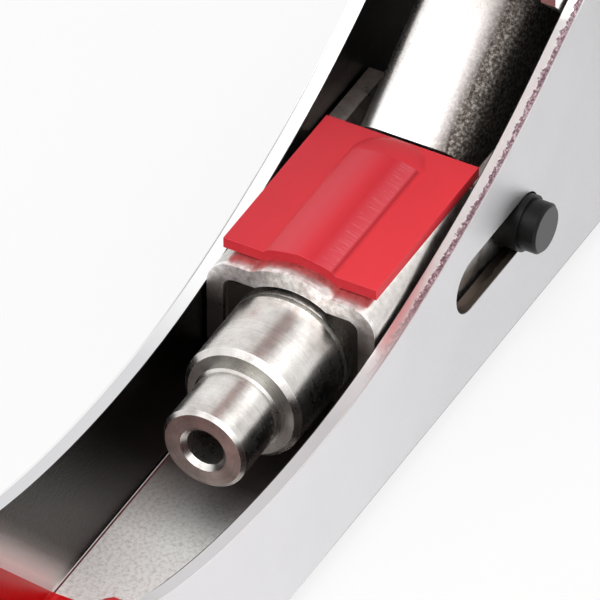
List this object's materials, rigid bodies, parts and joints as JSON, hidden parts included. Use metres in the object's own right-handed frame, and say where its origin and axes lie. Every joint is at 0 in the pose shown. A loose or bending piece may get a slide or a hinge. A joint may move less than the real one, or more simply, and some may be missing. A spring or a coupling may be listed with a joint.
{
  "type": "snap setter pliers",
  "caption": "In-line squeeze pliers: a toggle-driven ram with a stepped die holder slides in an open channel frame towards a fixed anvil seat; dipped grips.",
  "frame": {"origin": "ram axis at the mouth of the die holder's bore, ram fully back (tool open)", "axes": "+X the way the ram works, from the pivot head towards the anvil and the grips; +Y across the channel; +Z out of its open side, away from the flat back"},
  "size_m": [0.1964, 0.0272, 0.1374],
  "materials": {
    "plated_sheet": "satin zinc-nickel plated sheet",
    "vinyl_red": "dipped soft vinyl, glossy",
    "pad_red": "semi-matte moulded plastic",
    "nickel_steel": "satin nickel",
    "bright_link": "bright zinc plated, slightly grainy",
    "black_steel": "blackened, satin",
    "turned_steel": "turned and plated",
    "spring_steel": "bright wire"
  },
  "bodies": {
    "frame": {"frame_channel": "plated_sheet", "fixed_grip": "vinyl_red", "anvil_block": "turned_steel", "anvil_die_seat": "turned_steel", "anvil_rivets": "turned_steel", "pivot_pin": "turned_steel", "pivot_clip": "black_steel", "return_spring": "spring_steel"},
    "handle": {"handle_lever": "bright_link", "moving_grip": "vinyl_red", "pivot_bush": "turned_steel", "elbow_pin": "turned_steel", "elbow_spacers": "turned_steel"},
    "link": {"toggle_link": "bright_link"},
    "ram": {"ram_saddle": "nickel_steel", "die_holder": "nickel_steel", "holder_rivet": "nickel_steel", "ram_pad": "pad_red", "cross_pin": "black_steel", "slot_bushes": "black_steel", "link_spacers": "turned_steel"}
  },
  "joints": [
    {"name": "handle_pivot", "type": "hinge", "parent": "frame", "child": "handle", "pos_m": [-0.07898, 0, 0], "axis": [0, 1, 0], "range_deg": [0, 38.03], "stiffness_Nm_per_rad": 0.6, "springref_deg": -28.65, "deforming": ["return_spring"]},
    {"name": "link_pivot", "type": "hinge", "parent": "handle", "child": "link", "pos_m": [-0.06664, 0, 0.01471], "axis": [0, 1, 0], "range_deg": [-62.6, 0.1]},
    {"name": "ram_slide", "type": "slide", "parent": "frame", "child": "ram", "axis": [1, 0, 0], "range_m": [-0.00005, 0.0105]}
  ],
  "couplings": [
    {"joint": "link_pivot", "follows": "handle_pivot", "ratio": -1.6448},
    {"joint": "ram_slide", "follows": "handle_pivot", "m_per_rad": 0.015821}
  ]
}
